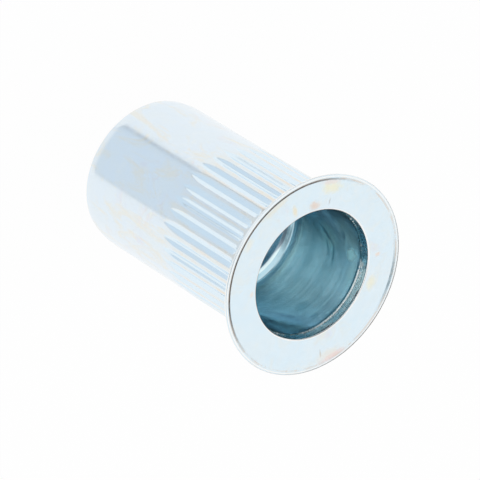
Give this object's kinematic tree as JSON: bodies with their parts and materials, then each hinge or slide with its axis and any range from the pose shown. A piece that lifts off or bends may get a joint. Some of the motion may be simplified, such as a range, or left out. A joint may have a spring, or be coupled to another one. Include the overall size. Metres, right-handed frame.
{
  "type": "rivet nut",
  "caption": "Countersunk rivet nut: a round body, knurled under a wide thin-edged head, with a plain bore at the head and a threaded hole at the far end.",
  "frame": {"origin": "centre of the threaded end's face, on the surface that the nut stands on", "axes": "+Z along the nut's axis, from the threaded end towards the head and its mouth"},
  "size_m": [0.0144, 0.0144, 0.019],
  "materials": {
    "zinc_plated_steel": "bright zinc plating with a pale blue passivation"
  },
  "bodies": {
    "root": {"rivet_nut": "zinc_plated_steel"}
  },
  "joints": []
}
